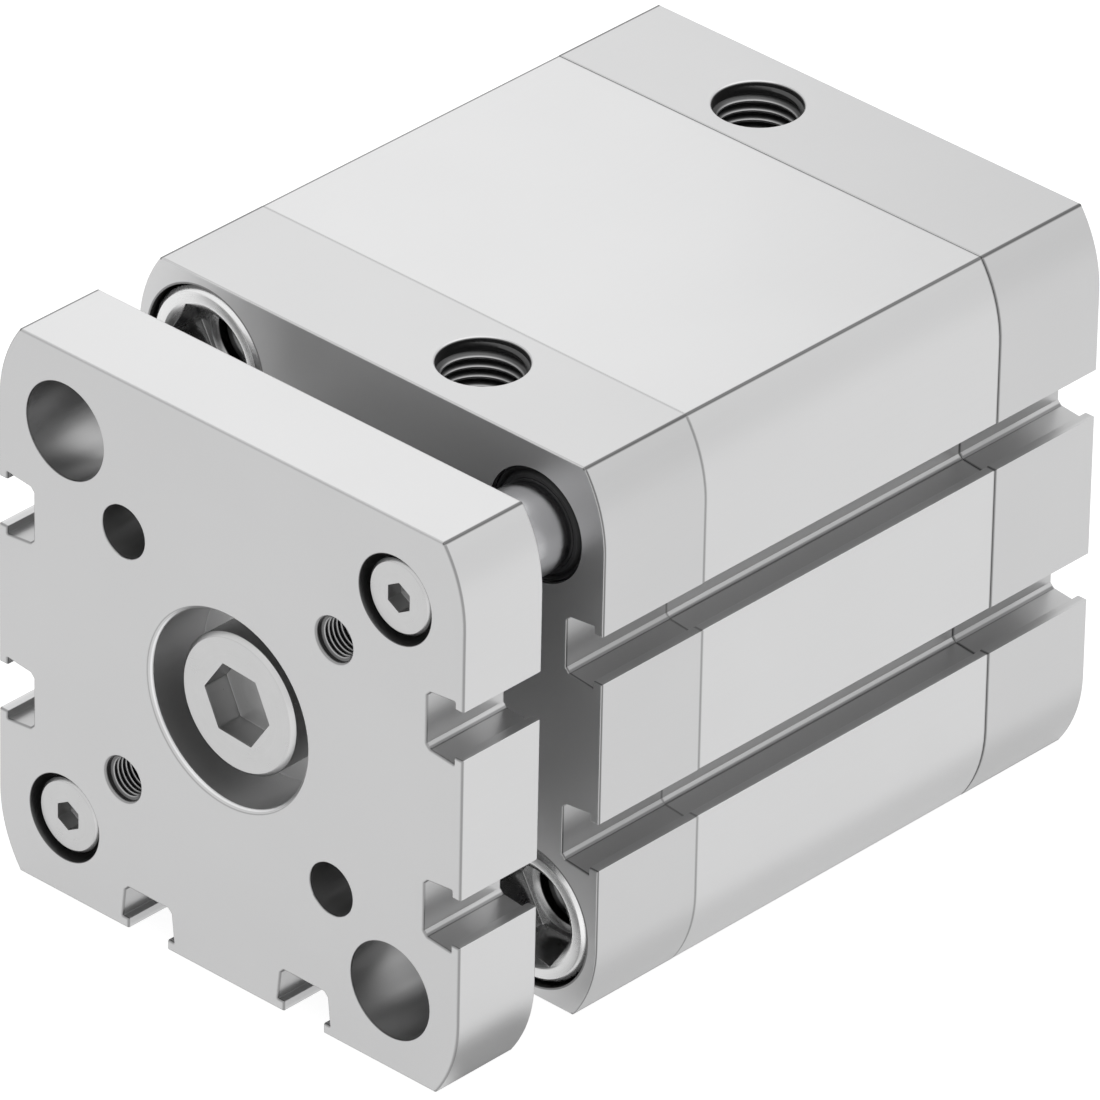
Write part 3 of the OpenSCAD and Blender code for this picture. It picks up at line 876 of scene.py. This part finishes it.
@dataclass
class SocketScrew:
    """A socket head screw, turned round its axis, with a hexagon socket and perhaps a bore.

    Attributes:
        head_r: Radius of the head.
        head_h: Height of the head.
        bevel: Chamfer round the head's top.
        socket_af: Width of the socket across its flats.
        socket_h: Depth of the socket.
        mouth_r: Radius of the cone at the socket's mouth, or 0 where the hexagon has a fine edge.
        turn_deg: Angle of one corner of the socket.
        shank_r: Radius of the shank.
        length: Length from the head's top to the shank's end.
        bore_r: Radius of the bore under the socket, or 0.
        bore_bevel: Chamfer at the bore's mouth.
        columns: Points in one turn, a multiple of 12.
        edge: Width of its broken edges.
    """

    head_r: float
    head_h: float
    bevel: float
    socket_af: float
    socket_h: float
    mouth_r: float
    turn_deg: float
    shank_r: float
    length: float
    bore_r: float = 0.0
    bore_bevel: float = 0.0
    columns: int = 144
    edge: float = 0.08

    def woven(self, seat: Seat) -> Woven:
        """Rows of rings round the axis, from the socket's floor over the head to the shank's end.

        The socket's wall has the radius of a hexagon, half the width across flats over the cosine
        of the angle from the nearest flat. Its mouth is a cone that meets this wall lower at the
        flats than at the corners, but at least the fine edge.

        Args:
            seat: The axis, with its foot at the head's top.

        Returns:
            Points and groups of faces.
        """
        step = np.arange(self.columns) * 2 * np.pi / self.columns
        turn = step + math.radians(self.turn_deg)
        hexagon = self.socket_af / 2 / np.cos(np.mod(step, np.pi / 3) - np.pi / 6)
        mouth = np.maximum(self.mouth_r, hexagon + FINE_EDGE)
        one = np.ones(self.columns)
        outside = [
            (hexagon, (hexagon - mouth) * MOUTH_SLOPE), (mouth, 0.0), (self.head_r - self.bevel, 0.0),
            (self.head_r, -self.bevel), (self.head_r, -self.head_h), (self.shank_r, -self.head_h),
            (self.shank_r, -self.length + TIP), (self.shank_r - TIP, -self.length)]
        if self.bore_r:
            floor = [(self.bore_r, -self.length), (self.bore_r, -self.socket_h - self.bore_bevel),
                     (self.bore_r + self.bore_bevel, -self.socket_h), (hexagon, -self.socket_h)]
            rows = floor + outside
        else:
            cone_r, cone_h = (share * self.socket_af for share in FLOOR_CONE)
            floor = [(0.0, -self.socket_h - cone_h), (cone_r, -self.socket_h), (hexagon, -self.socket_h)]
            rows = floor + outside + [(0.0, -self.length)]
        radius = np.stack([r * one for r, _ in rows])
        height = np.stack([h * one for _, h in rows])
        points = seat.set_in(radius, turn, height)
        return weave(points, ring_rows=bool(self.bore_r), poles=not self.bore_r)


def screwed(name: str, screw: SocketScrew, seats: list[Seat], finish: Finish, body: Body,
            node: str) -> None:
    """Puts screws of one kind into one dressed piece.

    Args:
        name: The piece's name.
        screw: The screw.
        seats: Where the tops of the heads are.
        finish: Their finish.
        body: What they move with.
        node: The CAD node that they stand for.
    """
    piece = stitched(name, [screw.woven(seat) for seat in seats])
    rounded(piece, screw.edge)
    dress(piece, finish, body, node)


# Sub-assemblies


@dataclass
class Planes:
    """The planes of the body along Y, and where the corner holes are.

    Attributes:
        plate_front: Front face of the yoke plate.
        plate_back: Its rear face.
        cap_front: Front face of the bearing cap.
        rear: Rear face of the end cap.
        corner: Distance of the corner holes from the middle, across and up.
        half_h: Half height of the section.
    """

    plate_front: float = -95.4
    plate_back: float = -83.9
    cap_front: float = -75.0
    rear: float = 0.0
    corner: float = 23.25
    half_h: float = 32.6


@dataclass
class Group:
    """Pieces that move together.

    Attributes:
        planes: The planes along Y.
        edge: Width of the broken edges.
        rim: Width of the broken edges round the end faces.
    """

    planes: Planes
    edge: float = 0.12
    rim: float = 0.35


@dataclass
class Housing(Group):
    """Barrel, both caps and what is fixed in them.

    Attributes:
        screw: The hollow corner screw.
        screw_sink: How far its head lies below the face.
        inner_thread: The mounting thread inside the screw.
        port_thread: The thread of an air port.
        port_inset: Distance of a port from the outer face of its cap.
        port_offset: Sideways offset of the ports.
        port_depth: Depth of the port's thread.
        port_end: Height above this depth at which the drawn thread starts.
    """

    screw: SocketScrew = field(default_factory=lambda: SocketScrew(
        7.9, 8.0, 0.6, 10.4, 5.5, 6.2, 0.0, 5.98, 26.0, 4.0, 0.6))
    screw_sink: float = 0.1
    inner_thread: Thread = field(default_factory=lambda: Thread(4.0, 3.35, 1.25, 19.0))
    port_thread: Thread = field(default_factory=lambda: Thread(4.86, 4.3, 1.15, 8.6, 64))
    port_inset: float = 8.2
    port_offset: float = 8.0
    port_depth: float = 9.0
    port_end: float = 0.1

    def shells(self) -> None:
        """Barrel and caps: whole copies of their CAD nodes with broken edges."""
        p = self.planes
        for node, finish, rims in (("barrel", EXTRUDED, ()), ("bearing_cap", CAST_FRONT, (p.cap_front,)),
                                   ("end_cap", CAST_REAR, (p.rear,))):
            dress(machined(node, self.edge, self.rim, rims), finish, Body.HOUSING, node)

    def corner_screws(self) -> None:
        """Six hollow screws, each with its thread inside."""
        c, p = self.planes.corner, self.planes
        front = [Seat((sx * c, p.cap_front, -sx * c), Way.FRONT) for sx in (-1, 1)]
        rear = [Seat((sx * c, p.rear, sz * c), Way.BACK) for sx in (-1, 1) for sz in (-1, 1)]
        for node, faces in (("bearing_cap_screws", front), ("end_cap_screws", rear)):
            seats = [face.sunk(self.screw_sink) for face in faces]
            screwed(node[:-1] + "_heads", self.screw, seats, ZINC_HOLLOW_LIT, Body.HOUSING, node)
            ridges = [self.inner_thread.woven(seat.sunk(self.screw.length - TIP)) for seat in seats]
            ridged(node + "_threads", ridges, ZINC_HOLLOW_LIT, Body.HOUSING)

    def port_threads(self) -> None:
        """The threads of both air ports, cut into the caps' tops."""
        p = self.planes
        for name, x, y, finish in (
                ("front_port_thread", self.port_offset, p.cap_front + self.port_inset, CAST_FRONT),
                ("rear_port_thread", -self.port_offset, p.rear - self.port_inset, CAST_REAR)):
            seat = Seat((x, y, p.half_h), Way.UP).sunk(self.port_depth - self.port_end)
            ridged(name, [self.port_thread.woven(seat)], finish, Body.HOUSING)

    def build(self) -> None:
        """Builds and dresses every piece of the housing."""
        self.shells()
        self.corner_screws()
        self.port_threads()


@dataclass
class Yoke(Group):
    """Yoke plate, rods and what is fixed to them.

    Attributes:
        centre_screw: The screw that holds the piston rod.
        centre_sink: How far its head's top lies below the plate's face.
        rod_screw: The screw that holds a guide rod.
        rod_sink: How far its head's top lies below the plate's face.
        tool_thread: The thread that takes a tool.
        tool_reach: Distance of that thread from the middle, across and up.
        tool_end: How far inside the plate's rear face this thread starts.
    """

    edge: float = 0.1
    centre_screw: SocketScrew = field(default_factory=lambda: SocketScrew(
        8.0, 6.5, 0.5, 8.0, 3.3, 0.0, -4.0, 5.0, 30.1, edge=0.1))
    centre_sink: float = 1.4
    rod_screw: SocketScrew = field(default_factory=lambda: SocketScrew(
        4.25, 3.5, 0.35, 3.0, 2.0, 0.0, 30.0, 2.5, 18.0, columns=96, edge=0.06))
    rod_sink: float = 0.5
    tool_thread: Thread = field(default_factory=lambda: Thread(2.5, 2.15, 0.6, 11.0, 40))
    tool_reach: float = 14.849
    tool_end: float = 0.25

    def plate(self) -> None:
        """The plate: a whole copy of its CAD node with broken edges."""
        p = self.planes
        shell = machined("yoke_plate", self.edge, self.rim, (p.plate_front, p.plate_back))
        dress(shell, EXTRUDED, Body.YOKE, "yoke_plate")

    def screws(self) -> None:
        """The centre screw and the two guide rod screws."""
        p = self.planes
        middle = Seat((0.0, p.plate_front, 0.0), Way.FRONT).sunk(self.centre_sink)
        screwed("centre_screw", self.centre_screw, [middle], ZINC_AXIS, Body.YOKE, "yoke_screw")
        seats = [Seat((s * p.corner, p.plate_front, s * p.corner), Way.FRONT).sunk(self.rod_sink)
                 for s in (-1, 1)]
        screwed("guide_rod_screw_heads", self.rod_screw, seats, ZINC_SMALL, Body.YOKE,
                "guide_rod_screws")

    def tool_threads(self) -> None:
        """The two threads that take a tool, which run through the plate."""
        p, reach = self.planes, self.tool_reach
        seats = [Seat((s * reach, p.plate_back - self.tool_end, s * reach), Way.FRONT) for s in (-1, 1)]
        ridged("tool_threads", [self.tool_thread.woven(seat) for seat in seats], EXTRUDED, Body.YOKE)

    def build(self) -> None:
        """Builds and dresses every piece of the yoke."""
        self.plate()
        self.screws()
        self.tool_threads()


@dataclass
class CarriedOver:
    """CAD nodes whose shape is right as it is, by finish."""

    finishes: dict[Finish, tuple[str, ...]] = field(default_factory=lambda: {
        CHROME: ("piston_rod", "guide_rod_upper", "guide_rod_lower"),
        BRONZE: ("rod_bush", "guide_bush_upper", "guide_bush_lower"),
        SEAL: ("bearing_cap_o_ring", "end_cap_o_ring", "rod_seal", "guide_wiper_upper",
               "guide_wiper_lower", "piston_seal_front", "piston_seal_rear", "piston_o_ring"),
        BUFFER: ("front_buffer", "rear_buffer"),
        PISTON: ("piston_disc_front", "piston_disc_rear"),
        ZINC_AXIS: ("piston_nut",),
        BAND: ("wear_ring",),
        MAGNET: ("magnet_ring",)})

    def build(self) -> None:
        """Gives each of these nodes its material."""
        for finish, nodes in self.finishes.items():
            for node in nodes:
                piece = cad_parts[node]
                piece.data.materials.clear()
                piece.data.materials.append(finish.material())
                LOG.info("%s: carried over, %s", node, finish.name)


def facing(azimuth_deg: float, elevation_deg: float) -> tuple[np.ndarray, np.ndarray]:
    """The ways right and back of what looks at the object from this side."""
    az, el = math.radians(azimuth_deg), math.radians(elevation_deg)
    right = np.array([math.cos(az), math.sin(az), 0.0])
    return right, np.array([math.sin(az) * math.cos(el), -math.cos(az) * math.cos(el), math.sin(el)])


def stood(name: str, data: bpy.types.ID, axes: tuple[np.ndarray, ...],
          place: np.ndarray) -> bpy.types.Object:
    """Stands a camera or a lamp.

    Args:
        name: The object's name.
        data: The camera or lamp.
        axes: Its ways right, up and back.
        place: Where it stands, in metres.

    Returns:
        The object.
    """
    matrix = np.eye(4)
    matrix[:3, :3], matrix[:3, 3] = np.stack(axes, 1), place
    made = linked(name, data)
    made.matrix_world = matrix.T.tolist()
    return made


@dataclass
class Camera:
    """The photograph's camera, fitted to its edges.

    Attributes:
        azimuth_deg: Angle round the object from the front.
        elevation_deg: Angle above the horizon.
        roll_deg: Turn of the picture about the view.
        distance: From the aim point along the view, in millimetres.
        focal_px: Focal length in pixels of the picture.
        picture_px: Side of the square picture.
        right: Shift of the camera to its right.
        up: Shift of the camera upwards.
        aim_y: The plane of the aim point.
    """

    azimuth_deg: float = 42.6652693
    elevation_deg: float = 31.2785513
    roll_deg: float = 1.16341138
    distance: float = 1532.42683
    focal_px: float = 14969.2523
    picture_px: float = 1100.0
    right: float = 18.8137726
    up: float = 8.81330361
    aim_y: float = -75.0

    def build(self) -> None:
        """Stands the camera: its three axes are the picture's right, its up, and the way back."""
        roll = math.radians(self.roll_deg)
        right, back = facing(self.azimuth_deg, self.elevation_deg)
        up = np.cross(back, right)
        right, up = (math.cos(roll) * right + math.sin(roll) * up,
                     math.cos(roll) * up - math.sin(roll) * right)
        aim = np.array([0.0, self.aim_y, 0.0])
        place = self.right * right + self.up * up + self.distance * back + aim
        data = bpy.data.cameras.new("camera")
        data.sensor_width = 36.0
        data.lens = self.focal_px / self.picture_px * data.sensor_width
        bpy.context.scene.camera = stood("camera", data, (right, up, back), place * MM)


@dataclass
class Lamp:
    """A square soft lamp that looks at the object.

    Attributes:
        name: The lamp's name.
        azimuth_deg: Angle round the object from the front.
        elevation_deg: Angle above the horizon.
        distance: Distance in metres.
        side: Side of the square in metres.
        watts: Its power.
    """

    name: str
    azimuth_deg: float
    elevation_deg: float
    distance: float
    side: float
    watts: float

    def build(self, aim: np.ndarray) -> None:
        """Hangs the lamp so that it looks at a point, given in metres."""
        right, back = facing(self.azimuth_deg, self.elevation_deg)
        data = bpy.data.lights.new(self.name, "AREA")
        data.shape, data.size, data.energy = "SQUARE", self.side, self.watts
        stood(self.name, data, (right, np.cross(back, right), back), aim + back * self.distance)


CORNER_FADE, PLATE_FADE = (3.0, 10.0), (5.0, 11.0)  # where the floor's shade fades, from its middle
FRONT_FADE = (-5.0, 1.0)  # the same from the object's front
FLOOR_SIDE = 4.0  # half the floor's side in metres


@dataclass
class Studio:
    """Pale floor, even daylight and two soft lamps.

    Attributes:
        lamps: The lamps.
        sky: Strength of the even light from all round.
        floor_tone: How much light the floor gives back.
        floor_glow: What brings the floor up to white where the camera or a gloss sees it.
        floor_shade: Share of this that a gloss doesn't see under the lower corners of the
            housing and of the yoke plate.
        corner_x: Distance of these corners from the middle in millimetres.
        plate_y: Middle of the plate's share in millimetres.
    """

    lamps: list[Lamp] = field(default_factory=lambda: [
        Lamp("rear_softbox", 229.0, 36.0, 0.455, 0.16, 0.036),
        Lamp("high_softbox", 120.0, 75.0, 0.8, 1.2, 3.0)])
    sky: float = 0.5
    floor_tone: float = 0.33
    floor_glow: float = 0.9
    floor_shade: Span = (0.25, 0.7)
    corner_x: float = 31.0
    plate_y: float = -87.0

    def seen(self, shader: Shader) -> Wire:
        """1 for rays from the camera, from a gloss or through glass, and 0 for soft light."""
        kinds = ("Is Camera Ray", "Is Glossy Ray", "Is Transmission Ray")
        camera, gloss, glass = (shader.node("ShaderNodeLightPath", {}, {}, kind) for kind in kinds)
        return camera.most(gloss).most(glass)

    def shaded(self, shader: Shader) -> Wire:
        """The share of the floor's glow that a gloss misses, by the distance from the corners."""
        x, y, _ = shader.parts(shader.place())
        beside = abs(abs(x) - self.corner_x).fade(*CORNER_FADE)
        ahead = (CAD_BOX[0][1] / MM - y).fade(*FRONT_FADE)
        housing, plate = self.floor_shade
        share = abs(y - self.plate_y).fade(*PLATE_FADE) * (plate - housing) + housing
        return share * beside * ahead

    def world(self) -> None:
        """White where it is seen, and a plain level of light on the object."""
        world = bpy.data.worlds.new("daylight")
        bpy.context.scene.world = world
        shader = Shader(world)
        strength = self.seen(shader) * (1.0 - self.sky) + self.sky
        shader.end(shader.node("ShaderNodeBackground", {},
                               {"Color": (1.0, 1.0, 1.0, 1.0), "Strength": strength}))

    def floor(self, height: float) -> None:
        """A wide floor that stays white where it is seen, apart from the object's soft shadow.

        Args:
            height: The floor's level in metres.
        """
        material = bpy.data.materials.new("pale_floor")
        shader = Shader(material)
        grey = shader.node("ShaderNodeBsdfDiffuse", {}, {"Color": (self.floor_tone,) * 3 + (1.0,)})
        gloss = shader.node("ShaderNodeLightPath", {}, {}, "Is Glossy Ray")
        lit = (1.0 - gloss * self.shaded(shader)) * self.floor_glow
        glow = shader.node("ShaderNodeEmission", {}, {"Strength": self.seen(shader) * lit})
        shader.end(shader.node("ShaderNodeAddShader", {}, {0: grey, 1: glow}))
        side = FLOOR_SIDE
        mesh = bpy.data.meshes.new("floor")
        mesh.from_pydata([(-side, -side, height), (side, -side, height), (side, side, height),
                          (-side, side, height)], [], [(0, 1, 2, 3)])
        mesh.materials.append(material)
        floor = linked("floor", mesh)

    def build(self) -> None:
        """Builds floor, daylight and lamps."""
        low, high = (np.array(corner) for corner in CAD_BOX)
        self.floor(float(low[2]))
        self.world()
        for lamp in self.lamps:
            lamp.build((low + high) / 2)
        bpy.context.scene.view_settings.view_transform = "Standard"


def main() -> None:
    """Builds camera, studio and every sub-assembly, and notes the size of what was built."""
    logging.basicConfig(level=logging.INFO, format="%(message)s")
    Camera().build()
    Studio().build()
    planes = Planes()
    for part in (Housing(planes), Yoke(planes), CarriedOver()):
        part.build()


if __name__ == "__main__":
    main()
